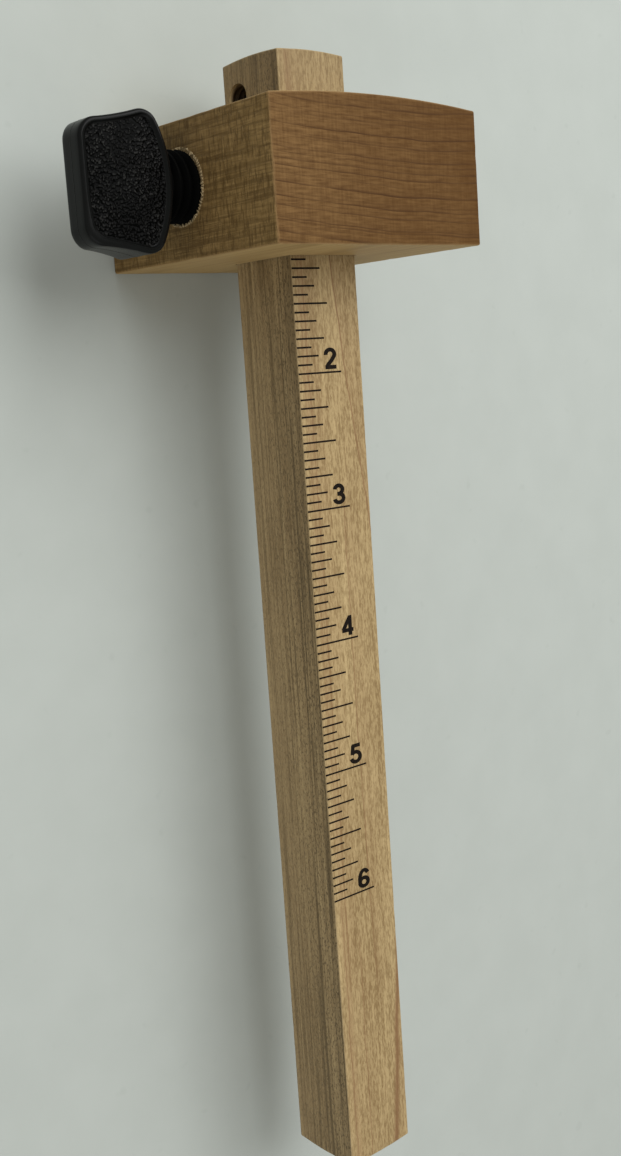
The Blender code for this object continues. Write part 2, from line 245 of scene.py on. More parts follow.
class Shader(Graph):
    def __init__(self, name, roughness, specular=0.5, metallic=0.0):
        self.material = bpy.data.materials.new(name)
        self.material.use_nodes = True
        super().__init__(self.material.node_tree)
        self.out = self.tree.nodes["Principled BSDF"]
        self.put(self.out.inputs["Roughness"], roughness)
        self.put(self.out.inputs["Specular IOR Level"], specular)
        self.put(self.out.inputs["Metallic"], metallic)
        coords = self.add("ShaderNodeTexCoord").outputs
        self.object = coords["Object"]
        self.normal = coords["Normal"]
        self.x, self.y, self.z = self.add("ShaderNodeSeparateXYZ", {0: self.object}).outputs

    def grain(self, perMetre, detail=3.0, roughness=0.55, seed=0.0, *levels):
        # noise with its own fineness along X, Y and Z, from 0 to 1 between its levels where they are given
        spot = self.add("ShaderNodeMapping",
                        {"Vector": self.object, "Scale": perMetre, "Location": (seed, seed, seed)})
        made = self.add("ShaderNodeTexNoise",
                        {"Vector": spot, "Scale": 1.0, "Detail": detail, "Roughness": roughness})
        return self.level(made, *levels) if levels else made

    def waver(self, grain, size):
        # noise that strays to both sides of zero
        return self.times(self.minus(self.grain(*grain), 0.5), size)

    def ramp(self, value, *stops):
        made = self.add("ShaderNodeValToRGB", {0: value})
        points = made.color_ramp.elements
        while len(points) < len(stops):
            points.new(0.5)
        for point, (place, tone) in zip(points, stops):
            point.position = place
            point.color = (tone, tone, tone, 1.0)
        return made

    def mix(self, factor, a, b):
        made = self.add("ShaderNodeMix", data_type="RGBA", clamp_factor=True)
        self.put(made.inputs[0], factor)
        self.put(made.inputs[6], a)
        self.put(made.inputs[7], b)
        return made.outputs[2]

    def tint(self, tone, colour, mask, strength=1.0):
        # lays a colour over a tone where the mask is
        return self.mix(self.times(mask, strength), tone, colour)

    def facing(self, axis):
        # 1 on the two faces that look along the axis, 0 on the others
        side = self.add("ShaderNodeVectorMath", {0: self.normal, 1: axis}, operation="DOT_PRODUCT").outputs[1]
        return self.level(self.math("ABSOLUTE", side), 0.6, 0.8)

    def arris(self):
        # 1 where the surface looks along none of the axes
        turn = self.add("ShaderNodeVectorMath", {0: self.normal}, operation="ABSOLUTE")
        x, y, z = self.add("ShaderNodeSeparateXYZ", {0: turn}).outputs
        return self.level(self.math("MAXIMUM", self.math("MAXIMUM", x, y), z), 0.99, 0.9)

    def away(self, axis):
        # distance from an axis along the knob's direction
        offX = self.minus(self.x, axis.x)
        offZ = self.minus(self.z, axis.z)
        return self.math("SQRT", self.plus(self.times(offX, offX), self.times(offZ, offZ)))

    def share(self, value, low, high):
        # 0 at low and 1 at high, and on past both
        return self.math("DIVIDE", self.minus(value, low), high - low)

    def band(self, value, rise, fall):
        # 1 between the two slopes, and 0 beyond them
        return self.times(self.level(value, *rise), self.level(value, *fall))

    def growthLines(self, across, spacing, wander, fade):
        # thin dark late-wood lines, unevenly spaced and unequally strong, that fade along their length
        uneven = self.add("ShaderNodeTexNoise", {"W": across, "Scale": 1 / (2.3 * spacing), "Detail": 1.0},
                          noise_dimensions="1D")
        count = self.plus(self.math("DIVIDE", across, spacing), self.times(uneven, wander))
        line = self.ramp(self.math("FRACT", count), *lineShape)
        own = self.add("ShaderNodeTexWhiteNoise", {"W": self.math("FLOOR", count)}, noise_dimensions="1D")
        faded = self.level(self.grain(*fade), 0.35, 0.6, 0.35, 1.0)
        return self.times(line, self.times(self.level(own, 0.0, 1.0, 0.3, 1.0), faded))

    def bump(self, height, distance, strength=1.0, under=None):
        made = self.add("ShaderNodeBump", {"Height": height, "Distance": distance, "Strength": strength})
        if under:
            self.put(made.inputs["Normal"], under)
        return made

    def finish(self, colour, normal=None):
        self.put(self.out.inputs["Base Color"], colour)
        if normal:
            self.put(self.out.inputs["Normal"], normal)
        return self.material


class Pattern(Graph):
    # a geometry tree with named inputs, whose result becomes a plain piece
    def __init__(self, name, sizes, material):
        super().__init__(bpy.data.node_groups.new(name, "GeometryNodeTree"))
        self.material = material
        self.tree.interface.new_socket(name="Geometry", in_out="OUTPUT", socket_type="NodeSocketGeometry")
        self.values = {}
        for label, value in sizes.items():
            kind = "NodeSocketInt" if isinstance(value, int) else "NodeSocketFloat"
            socket = self.tree.interface.new_socket(name=label, in_out="INPUT", socket_type=kind)
            self.values[socket.identifier] = value
        self.given = self.tree.nodes.new("NodeGroupInput").outputs

    def vector(self, x=0.0, y=0.0, z=0.0):
        return self.add("ShaderNodeCombineXYZ", {0: x, 1: y, 2: z})

    def random(self, low, high, step):
        # a draw of its own for each step of the seed
        seed = self.plus(self.given["seed"], step)
        made = self.add("FunctionNodeRandomValue", {2: low, 3: high, "Seed": seed}, data_type="FLOAT")
        return made.outputs[1]

    def build(self, geometry):
        real = self.add("GeometryNodeRealizeInstances", {0: geometry})
        done = self.add("GeometryNodeSetMaterial", {"Geometry": real, "Material": self.material})
        out = self.tree.nodes.new("NodeGroupOutput")
        self.put(out.inputs[0], done)
        piece = newPiece(self.tree.name, bmesh.new())
        step = piece.modifiers.new("pattern", "NODES")
        step.node_group = self.tree
        for identifier, value in self.values.items():
            step[identifier] = value
        settle(piece)
        return piece


# camera, at the photograph's viewing angle

cameraView = {
    "place": (-0.05008, -0.16084, 0.22415),
    "forward": (0.14788, 0.62851, -0.76362),
    "up": (-0.98654, 0.14825, -0.06902),
    "lens": 42.4,
    "shiftX": 0.0203,
    "near": 10.0 * mm,
}


def makeCamera():
    data = bpy.data.cameras.new("camera")
    data.lens = cameraView["lens"]
    data.shift_x = cameraView["shiftX"]
    data.clip_start = cameraView["near"]
    camera = newObject("camera", data)
    back = -Vector(cameraView["forward"]).normalized()
    right = Vector(cameraView["up"]).cross(back).normalized()
    turn = Matrix((right, back.cross(right), back)).transposed().to_4x4()
    camera.matrix_world = Matrix.Translation(cameraView["place"]) @ turn
    scene.camera = camera
    print("camera placed")


# beam: flat-sawn light hardwood, grain along X, growth layers tilted so that they show wide on the scale side

beamLook = {
    "light": (0.492, 0.369, 0.186),
    "deep": (0.236, 0.157, 0.066),
    "line": (0.205, 0.108, 0.046),
    "pink": (0.330, 0.212, 0.104),
    "streakAndPaintedShade": (0.125, 0.083, 0.036),
    "lowSide": (0.45, 0.320, 0.172),
    "sideLight": (0.462, 0.334, 0.168),
    "sideDeep": (0.220, 0.143, 0.064),
    "pore": (0.085, 0.056, 0.025),
    "end": (0.25, 0.165, 0.075),
    "arris": (0.42, 0.315, 0.165),
    "paintedHoleShade": (0.050, 0.030, 0.013),
    "layerSpacing": 1.3 * mm,
    "layerTilt": 0.24,
    "drift": 1.6 * mm,
    "hairWidth": 0.26 * mm,
    "arrisWidth": 0.3 * mm,
    "chip": 0.14 * mm,
    "chipSize": 1.3 * mm,
    "crown": 0.8 * mm,
    "cuts": (120, 9, 9),
    "paintedFalloffShade": (16.0 * mm, 4.0 * mm),  # painted shade, darker from here to the pin's end where the light falls off
    "paintedHoleShadeRim": (0.55 * mm, 0.35 * mm),  # painted shade round the recess, past its thread
    # painted shade from below the mouth to past the beam's axis
    "paintedHoleShadeBand": ((beamLow.y + 0.1 * mm, beamLow.y + 0.5 * mm),
                    (beamAxis.y + 3.0 * mm, beamAxis.y + 2.5 * mm)),
    "wander": 0.10,  # a share of the beam's width, as the places of both bands are
    "pinkBand": ((0.20, 0.15), (0.04, 0.09)),
    "darkBand": ((0.0, 0.02), (0.30, 0.04)),  # beside each line
    "lineFade": 0.4,  # in inches
    # fineness along X, Y and Z per metre, detail, roughness, seed, and the noise levels that give 0 and 1
    "driftGrain": ((9, 45, 45), 2.0),
    "fade": ((25, 200, 200), 2.0, 0.55, 3.0),
    "fibre": ((60, 1500, 1500), 3.0, 0.6),
    "fleck": ((800, 2900, 2900), 2.0, 0.6, 21.0, 0.42, 0.60),
    "cloud": ((16, 130, 130), 3.0, 0.55, 5.0, 0.42, 0.68),
    "wanderGrain": ((70, 8, 8), 3.0, 0.6, 23.0),
    "bands": ((10, 500, 500), 4.0, 0.65, 9.0, 0.40, 0.66),
    "thin": ((24, 1500, 1500), 3.0, 0.6, 13.0, 0.52, 0.64),
    "pores": ((1500, 3900, 3900), 2.0, 0.55, 7.0, 0.54, 0.62),
    "fibreDepth": 0.03 * mm,
    "poreDepth": 0.05 * mm,
}

# growth lines that stand out on the scale face: start, end and where the bend starts, in inches along it,
# place as a share of the beam's width, how fast they bend and widen, and strength
scaleFaceLines = (
    (0.0, 3.8, -5.0, 0.076, 0.0135, 0.0, 0.90),
    (2.7, 7.0, 3.1, 0.56, 0.004, 0.0, 0.65),
    (-1.0, 6.4, 2.0, 0.095, 0.001, 0.0, 0.30),
    (-1.0, 6.8, 5.0, 0.175, -0.002, 0.0, 0.65),
    (6.0, 9.5, 7.0, 0.110, 0.003, 0.0, 0.65),
    (6.2, 9.5, 7.0, 0.360, -0.006, 0.0, 0.60),
    (6.0, 9.5, 2.0, 1.243, -0.01224, 0.0013, 0.95),
)


def scaleFace(wood, body, lines):
    # the marked face, whose bold growth lines lie where the photograph shows them
    look = beamLook
    along = wood.share(wood.x, pinAxis.x, pinAxis.x + inch)
    right = wood.share(wood.y, beamLow.y, beamHigh.y)
    right = wood.plus(right, wood.waver(look["wanderGrain"], look["wander"]))
    tone = wood.tint(body, look["line"], lines, 0.22)
    tone = wood.tint(tone, look["pink"], wood.band(right, *look["pinkBand"]), 0.35)
    for start, end, bendFrom, at, bend, widen, strength in scaleFaceLines:
        gone = wood.minus(along, bendFrom)
        bent = wood.times(gone, gone)
        offset = wood.minus(right, wood.plus(wood.times(bent, bend), at))
        there = wood.band(along, (start, start + look["lineFade"]), (end, end - look["lineFade"]))
        wide = wood.plus(wood.times(bent, widen), look["hairWidth"] / (beamHigh.y - beamLow.y))
        hair = wood.level(wood.math("ABSOLUTE", offset), wide, 0.0)
        beside = wood.band(offset, *look["darkBand"])
        mark = wood.plus(wood.times(hair, strength), wood.times(beside, 0.22 * strength))
        tone = wood.tint(tone, look["line"], mark, there)
    return tone


def sideFace(wood, shade, lines, pores):
    # a face beside the marked one, with more streaks and pores towards it
    look = beamLook
    corner = wood.level(wood.z, beamAxis.z - 4 * mm, beamHigh.z, 0.1, 0.62)
    tone = wood.mix(shade, look["sideLight"], look["sideDeep"])
    tone = wood.tint(tone, look["lowSide"], wood.level(wood.z, beamAxis.z, beamLow.z), 0.30)
    tone = wood.tint(tone, look["streakAndPaintedShade"], lines, 0.95)
    thin = wood.grain(*look["thin"])
    tone = wood.tint(tone, look["streakAndPaintedShade"], thin, wood.plus(wood.times(corner, 0.9), 0.42))
    tone = wood.tint(tone, look["streakAndPaintedShade"], wood.grain(*look["bands"]), corner)
    return wood.tint(tone, look["pore"], pores, wood.plus(corner, 0.22))


def beamWood():
    look = beamLook
    wood = Shader("beamWood", roughness=0.48, specular=0.22)
    across = wood.plus(wood.plus(wood.z, wood.times(wood.y, look["layerTilt"])),
                       wood.waver(look["driftGrain"], look["drift"]))
    lines = wood.growthLines(across, look["layerSpacing"], 0.9, look["fade"])
    fibre, fleck, cloud, pores = (wood.grain(*look[name]) for name in ("fibre", "fleck", "cloud", "pores"))
    shade = wood.plus(wood.times(wood.level(fibre, 0.32, 0.68), 0.45), wood.times(cloud, 0.30))
    body = wood.mix(wood.plus(shade, wood.times(fleck, 0.50)), look["light"], look["deep"])
    side = sideFace(wood, wood.plus(shade, wood.times(fleck, 0.26)), lines, pores)
    tone = wood.mix(wood.facing((0, 1, 0)), scaleFace(wood, body, lines), side)
    # painted shade: the beam's faces darker towards the pin's end, where the light falls off
    paintedFalloffShade = wood.level(wood.x, *(beamLow.x + reach for reach in look["paintedFalloffShade"]))
    tone = wood.tint(tone, look["streakAndPaintedShade"], paintedFalloffShade, 0.30)
    end = wood.tint(wood.mix(fibre, look["end"], look["deep"]), look["streakAndPaintedShade"], lines, 0.7)
    tone = wood.mix(wood.facing((1, 0, 0)), tone, end)
    tone = wood.tint(tone, look["arris"], wood.arris(), 0.6)
    # painted shade on the walls of the pin screw's recess, which lie in shadow
    paintedShadeAcross = wood.level(wood.away(pinAxis), *(setThread["major"] + rim for rim in look["paintedHoleShadeRim"]))
    paintedShadeDeep = wood.band(wood.y, *look["paintedHoleShadeBand"])
    tone = wood.tint(tone, look["paintedHoleShade"], paintedShadeAcross, paintedShadeDeep)
    normal = wood.bump(fibre, look["fibreDepth"], 0.6)
    normal = wood.bump(pores, -look["poreDepth"], 0.4, normal)
    return wood.finish(tone, normal)


def makeBeam():
    look = beamLook
    bm = gridBlock(beamLow, beamHigh, look["cuts"])
    corner = (beamHigh.y - beamAxis.y) ** 2 + (beamHigh.z - beamAxis.z) ** 2
    end = beamHigh.x - beamAxis.x - 0.01 * mm
    for vert in bm.verts:
        along = vert.co.x - beamAxis.x
        if abs(along) > end:
            offAxis = (vert.co.y - beamAxis.y) ** 2 + (vert.co.z - beamAxis.z) ** 2
            vert.co.x -= math.copysign(look["crown"] * offAxis / corner, along)
    easeArrises(bm, look)
    beam = newPiece("beam_body", bm, beamWood())
    bottom = height(pinLow.y) - pinLook["flange"] - pinLook["travel"] - pinLook["gap"]
    bore = pinLook["shaft"] + pinLook["gap"]
    tap(beam, setThread, height(beamLow.y) + past, bottom, pinPlace)
    through = height(beamHigh.y) - past
    combine(beam, turned("bore", [(0, bottom + past), (bore, bottom + past), (bore, through), (0, through)],
                         pinPlace), "DIFFERENCE")
    attach(beam, "beam", "beam_wood", "beam")
    print("beam made")


# head: darker hardwood, grain along Z, growth layers across X, sawn knob side, planed fence

headLook = {
    "light": (0.205, 0.115, 0.042),
    "deep": (0.096, 0.047, 0.014),
    "line": (0.060, 0.026, 0.008),
    "shade": (0.076, 0.030, 0.004),
    "sawn": (0.335, 0.216, 0.086),
    "sawnDeep": (0.155, 0.092, 0.031),
    "sawnLine": (0.110, 0.064, 0.022),
    "fence": (0.450, 0.312, 0.140),
    "fenceDeep": (0.320, 0.205, 0.083),
    "arris": (0.27, 0.168, 0.074),
    "torn": (0.60, 0.49, 0.30),
    "tornDeep": (0.40, 0.29, 0.15),
    "ringSpacing": 1.95 * mm,
    "fineSpacing": 1.35 * mm,
    "fineShift": 0.4 * mm,
    "sag": (3.2 * mm, 2.6 * mm, 2.85 * mm),  # slope at the back, more of it at the fence, and its bend
    "sway": 1.7 * mm,
    "rimRagged": 0.8 * mm,
    "rimWidth": (0.25 * mm, -0.05 * mm),  # of the torn wood round the hole, past the screw
    "rimDepth": (0.5 * mm, 0.2 * mm),
    "mortiseGap": 0.3 * mm,
    "arch": 1.2 * mm,
    "arrisWidth": 0.4 * mm,
    "chip": 0.22 * mm,
    "chipSize": 1.7 * mm,
    "cuts": (14, 26, 26),
    # rows as the beam's are
    "swayGrain": ((45, 55, 10), 2.0, 0.45),
    "fade": ((60, 70, 40), 2.0, 0.55, 3.0),
    "fineFade": ((90, 50, 40), 2.0, 0.55, 5.0),
    "alongX": ((240, 2100, 2100), 3.0, 0.6, 1.0, 0.34, 0.66),
    "alongY": ((2300, 260, 2300), 3.0, 0.6, 4.0, 0.34, 0.66),
    "alongZ": ((2100, 2100, 240), 3.0, 0.6, 2.0, 0.34, 0.66),
    "cloud": ((45, 45, 45), 3.0, 0.55, 6.0, 0.40, 0.62),
    "ticks": ((420, 2400, 2400), 2.0, 0.55, 8.0, 0.53, 0.62),
    "crossing": ((1500, 1500, 60), 3.0, 0.6, 9.0, 0.50, 0.62),
    "streaks": ((900, 900, 35), 4.0, 0.6, 11.0, 0.36, 0.68),
    "ragged": ((900, 900, 900), 2.0, 0.55, 12.0),
    "tornGrain": ((1500, 1500, 1500),),
    "sawnDepth": 0.07 * mm,
    "fibreDepth": 0.015 * mm,
}


def headWood():
    look = headLook
    wood = Shader("headWood", roughness=0.62, specular=0.09)
    right = wood.share(wood.y, headLow.y, headHigh.y)
    down = wood.share(wood.x, headLow.x, headHigh.x)
    slope, more, bend = look["sag"]
    sag = wood.times(right, wood.plus(wood.times(down, more), slope))
    sag = wood.minus(sag, wood.times(wood.times(right, right), bend))
    across = wood.plus(wood.minus(wood.x, sag), wood.waver(look["swayGrain"], look["sway"]))
    rings = wood.growthLines(across, look["ringSpacing"], 1.2, look["fade"])
    fine = wood.growthLines(wood.plus(across, look["fineShift"]), look["fineSpacing"], 1.7, look["fineFade"])
    rings = wood.plus(rings, wood.times(fine, 0.75))
    alongX, alongY, alongZ = (wood.grain(*look["along" + axis]) for axis in "XYZ")

    body = wood.plus(wood.times(alongX, 0.34), wood.times(alongY, 0.66))
    body = wood.mix(body, look["light"], look["deep"])
    darker = wood.plus(wood.times(right, 0.68), wood.times(wood.grain(*look["cloud"]), 0.22))
    end = wood.tint(body, look["shade"], darker, 0.8)
    end = wood.tint(end, look["line"], rings, 1.15)

    ticks = wood.grain(*look["ticks"])
    crossing = wood.grain(*look["crossing"])
    sawn = wood.mix(wood.times(wood.plus(alongX, alongZ), 0.5), look["sawn"], look["sawnDeep"])
    for figure, strength in ((rings, 0.60), (crossing, 0.54), (ticks, 0.70)):
        sawn = wood.tint(sawn, look["sawnLine"], figure, strength)

    fence = wood.tint(look["fence"], look["fenceDeep"], wood.grain(*look["streaks"]), 0.75)
    fence = wood.tint(fence, look["sawnLine"], rings, 0.30)

    knobSide = wood.facing((0, 1, 0))
    tone = wood.mix(knobSide, end, sawn)
    tone = wood.mix(wood.facing((1, 0, 0)), tone, fence)
    tone = wood.tint(tone, look["arris"], wood.arris(), 0.55)

    ragged = wood.times(wood.grain(*look["ragged"]), look["rimRagged"])
    rim = wood.level(wood.minus(wood.away(screwAxis), ragged),
                     *(clampThread["major"] + width for width in look["rimWidth"]))
    near = wood.level(wood.y, *(headLow.y + depth for depth in look["rimDepth"]))
    tone = wood.tint(tone, look["torn"], wood.times(rim, near), 0.26)

    rough = wood.times(wood.plus(ticks, crossing), knobSide)
    normal = wood.bump(rough, -look["sawnDepth"], 0.8)
    normal = wood.bump(wood.plus(alongX, alongY), look["fibreDepth"], 0.6, normal)
    return wood.finish(tone, normal)


def makeHead():
    look = headLook
    middle = (headLow + headHigh) / 2
    bm = gridBlock(headLow, headHigh, look["cuts"])
    for vert in bm.verts:
        back = (headHigh.x - vert.co.x) / (headHigh.x - headLow.x)
        side = (vert.co.y - middle.y) / (headHigh.y - middle.y)
        vert.co.x += look["arch"] * back * side ** 2
    easeArrises(bm, look)
    head = newPiece("head_block", bm, headWood())
    gap = look["mortiseGap"]
    reach = Vector(((headHigh.x - headLow.x) / 2 + past, beamHigh.y - beamAxis.y + gap,
                    beamHigh.z - beamAxis.z + gap))
    centre = Vector((middle.x, beamAxis.y, beamAxis.z))
    combine(head, newPiece("mortise", gridBlock(centre - reach, centre + reach, (1, 1, 1))), "DIFFERENCE")
    tap(head, clampThread, height(headLow.y) + past, 0, knobPlace)
    attach(head, "head", "head_wood", "head")
    print("head made")


# torn fibres round the mouth of the head's threaded hole

fibreLook = {
    "count": 72,
    "radius": 6.78 * mm,
    "length": 1.25 * mm,
    "thickness": 0.19 * mm,
    "lean": 6.0 * mm,
    "lift": 2.0 * mm,
    "shortest": 0.35,
    "thinnest": 0.7,
    "thickest": 1.5,
    "seed": 4,
}


def tornWood():
    wood = Shader("tornWood", roughness=0.8, specular=0.1)
    return wood.finish(wood.mix(wood.grain(*headLook["tornGrain"]), headLook["torn"], headLook["tornDeep"]))


def makeRimFibres():
    pattern = Pattern("hole_rim_fibres", fibreLook, tornWood())
    given = pattern.given
    ring = pattern.add("GeometryNodeMeshCircle", {"Vertices": given["count"], "Radius": given["radius"]})
    place = pattern.add("GeometryNodeInputPosition")
    back = pattern.times(given["lean"], -1.0)
    lean = pattern.vector(pattern.random(back, given["lean"], 0), pattern.random(back, given["lean"], 1),
                          pattern.random(0.0, given["lift"], 2))
    inward = pattern.add("ShaderNodeVectorMath", {0: lean, 1: place}, operation="SUBTRACT")
    turn = pattern.add("FunctionNodeAlignRotationToVector", {"Vector": inward}, axis="Z")
    splinter = pattern.add("GeometryNodeMeshCone",
                           {"Vertices": 5, "Radius Top": 0.0, "Radius Bottom": given["thickness"],
                            "Depth": given["length"]})
    size = pattern.random(given["shortest"], 1.0, 3)
    girth = pattern.random(given["thinnest"], given["thickest"], 5)
    spread = pattern.add("GeometryNodeInstanceOnPoints",
                         {"Points": ring, "Instance": splinter, "Rotation": turn,
                          "Scale": pattern.vector(girth, girth, size)})
    fibres = pattern.build(spread)
    mouth = Vector((screwAxis.x, headLow.y, screwAxis.z))
    fibres.data.transform(Matrix.Translation(mouth) @ towardsKnob)
    attach(fibres, "head", "head_wood")
    print("rim fibres made")


# thumb screw: one black moulding, a wedge-shaped grip with a beaded, grained panel on each side and a thread

clampThread = {"major": 6.35 * mm, "depth": 1.1 * mm, "pitch": 1.95 * mm, "clearance": 0.3 * mm,
               "tipGap": 0.3 * mm, "chamfer": 1.2 * mm}

gripLook = {
    "grainColour": (0.0005, 0.0006, 0.0005),
    "paintedGlintColour": (0.0250, 0.0253, 0.0241),
    "corner": 33.6 * mm,
    "bulge": 3.2 * mm,
    "bulgeShare": 0.74,
    "outerLength": 20.6 * mm,
    "neckLength": 25.0 * mm,
    "waist": 0.4 * mm,
    "outerThickness": 5.6 * mm,
    "cornerThickness": 11.0 * mm,
    "outerRound": 3.1 * mm,
    "neckRound": 2.4 * mm,
    "edge": 0.62 * mm,
    "beadFrom": 0.62 * mm,
    "beadWidth": 0.36 * mm,
    "beadHeight": 0.23 * mm,
    "panelDepth": 0.32 * mm,
    "wallTop": 0.12 * mm,  # the wall from the bead down to the panel
    "wallFoot": 0.30 * mm,
    "wallDrop": 0.6,
    "panelCrown": 0.35 * mm,
    "outlineStep": 0.5 * mm,
    "wideRim": 0.75 * mm,
    "wideRimReach": 4.6 * mm,
    "panelRings": 14,
    "partingLine": 0.03 * mm,
    "sink": 2.0 * mm,
    "grainSize": 0.40 * mm,
    "grainBend": 0.40 * mm,
    "grainDepth": 0.22 * mm,
    "paintedGlintCrests": (0.36, 0.20),
    "pits": ((4200, 4200, 4200), 2.0),
    "paintedGlintPatches": ((190, 190, 190), 2.0, 0.55, 31.0, 0.36, 0.62, 0.28, 1.0),  # painted glint patches, from 0.28 to 1
}

# the grip's edge, and the thread and neck, which are duller and painted darker as shade under the grip
plainPlastics = {
    "blackPlastic": {"roughness": 0.26, "specular": 0.12, "colour": (0.0030, 0.0032, 0.0031),
                     "haze": (0.0048, 0.0050, 0.0050), "grain": ((500, 500, 500), 4.0), "bump": 0.4},
    # painted shade: a darker copy of the black plastic for the neck, which lies under the grip
    "threadPlastic": {"roughness": 0.65, "specular": 0.03, "colour": (0.0011, 0.0012, 0.0011),
                      "haze": (0.0021, 0.0022, 0.0021), "grain": ((300, 1600, 300), 3.0), "bump": 0.5},
}


def plainPlastic(name):
    look = plainPlastics[name]
    plastic = Shader(name, look["roughness"], look["specular"])
    haze = plastic.grain(*look["grain"])
    return plastic.finish(plastic.mix(haze, look["colour"], look["haze"]),
                          plastic.bump(haze, 0.01 * mm, look["bump"]))


def grainedPlastic():
    # leather grain: bent cells with painted glints on their raised tops, stronger in patches
    plastic = Shader("grainedPlastic", roughness=0.14, specular=0.03)
    bend = plastic.add("ShaderNodeTexNoise", {"Vector": plastic.object, "Scale": 900.0}).outputs["Color"]
    spot = plastic.add("ShaderNodeVectorMath", {0: bend, 1: [gripLook["grainBend"]] * 3, 2: plastic.object},
                       operation="MULTIPLY_ADD")
    cell = plastic.add("ShaderNodeTexVoronoi", {"Vector": spot, "Scale": 1 / gripLook["grainSize"]},
                       feature="SMOOTH_F1")
    fine = plastic.grain(*gripLook["pits"])
    normal = plastic.bump(cell, -gripLook["grainDepth"])
    # painted glints: the raised tops of the grain cells painted pale, stronger in patches
    paintedGlintPatches = plastic.grain(*gripLook["paintedGlintPatches"])
    paintedGlintCrests = plastic.level(cell, *gripLook["paintedGlintCrests"])
    return plastic.finish(plastic.tint(gripLook["grainColour"], gripLook["paintedGlintColour"], paintedGlintCrests, paintedGlintPatches),
                          plastic.bump(fine, 0.02 * mm, 0.6, normal))


def gripOutline():
    # the grip seen square on, with rounded corners, as points round it of (along the beam, away from it)
    look = gripLook
    outer, neck = look["outerLength"] / 2, look["neckLength"] / 2
    far, near = height(gripLow.y), look["corner"]
    sideSteps, neckSteps = 20, 11
    half = [(outer, far)]
    for step in range(6, sideSteps - 5):  # straight next to the corners, which are rounded below
        share = step / sideSteps
        half.append((outer + (neck - outer) * share - look["waist"] * math.sin(math.pi * share),
                     far + (near - far) * share))
    half.append((neck, near))
    for step in range(neckSteps):
        share = look["bulgeShare"] * (1 - step / neckSteps)
        half.append((neck * share, near - look["bulge"] * (1 - share ** 2)))
    full = half + [(0.0, near - look["bulge"])] + [(-along, away) for along, away in reversed(half)]
    bm = bmesh.new()
    face = bm.faces.new([bm.verts.new((along, away, 0.0)) for along, away in full])
    for length, away, rounding in ((outer, far, look["outerRound"]), (neck, near, look["neckRound"])):
        corners = [vert for vert in bm.verts
                   if abs(abs(vert.co.x) - length) < touching and abs(vert.co.y - away) < touching]
        bmesh.ops.bevel(bm, geom=corners, offset=rounding, segments=10, profile=0.5, affect="VERTICES")
    bm.faces.ensure_lookup_table()
    corners = [vert.co.to_2d() for vert in bm.faces[0].verts]
    bm.free()
    outline = []
    for before, after in zip(corners, corners[1:] + corners[:1]):
        parts = math.ceil((after - before).length / look["outlineStep"])
        outline += [before.lerp(after, part / parts) for part in range(parts)]
    return outline


def drawnIn(outline, inset, widening=0.0):
    # the outline moved inwards by the same distance all round, and further at the corner with the wide rim
    moved = []
    wideCorner = Vector((gripLook["outerLength"] / 2, height(gripLow.y)))
    count = len(outline)
    area = sum(outline[i - 1].cross(outline[i]) for i in range(count))
    for i, point in enumerate(outline):
        before = (point - outline[i - 1]).normalized()
        after = (outline[(i + 1) % count] - point).normalized()
        along = (before + after).normalized()
        inward = Vector((-along.y, along.x)) * math.copysign(1.0, area)
        apart = (point - wideCorner).length / gripLook["wideRimReach"]
        further = inset + widening * gripLook["wideRim"] * math.exp(-apart ** 2)
        moved.append(point + inward * further / max(0.5, along.dot(after)))
    return moved


def gripRings():
    # rings from the parting line over the edge, the bead and the panel to its middle, as (x, away, height)
    look = gripLook
    far = height(gripLow.y)
    outline = gripOutline()
    slope = (look["cornerThickness"] - look["outerThickness"]) / (far - look["corner"]) / 2

    def face(away):
        return look["outerThickness"] / 2 + (far - away) * slope

    ridge = look["partingLine"]
    steps = [(-ridge, 0.0, 0.0), (0.0, 0.0, 2 * ridge), (0.0, 0.0, 5 * ridge), (0.0, 0.5, 0.0)]
    for degrees in (0, 18, 36, 54, 72, 90):
        turn = math.radians(degrees)
        steps.append((look["edge"] * (1 - math.cos(turn)), 1.0, -look["edge"] * (1 - math.sin(turn))))
    for share in (0.0, 0.25, 0.5, 0.75, 1.0):
        steps.append((look["beadFrom"] + look["beadWidth"] * share, 1.0,
                      look["beadHeight"] * math.sin(math.pi * share)))
    inner = look["beadFrom"] + look["beadWidth"]
    foot = inner + look["wallFoot"]
    steps += [(inner + look["wallTop"], 1.0, -look["wallDrop"] * look["panelDepth"]),
              (foot, 1.0, -look["panelDepth"])]
    rings = [[(point.x, point.y, face(point.y) * share + lift)
              for point in drawnIn(outline, inset, min(1.0, max(0.0, inset / look["edge"])))]
             for inset, share, lift in steps]
    edge = drawnIn(outline, foot, 1.0)
    middle = sum(edge, Vector((0.0, 0.0))) / len(edge)
    for step in range(1, look["panelRings"]):
        share = 1 - step / look["panelRings"]
        crown = look["panelCrown"] * (1 - share ** 2) - look["panelDepth"]
        ring = [middle + (point - middle) * share for point in edge]
        rings.append([(point.x, point.y, face(point.y) + crown) for point in ring])
    peak = (middle.x, middle.y, face(middle.y) + look["panelCrown"] - look["panelDepth"])
    return rings, len(steps) - 1, peak


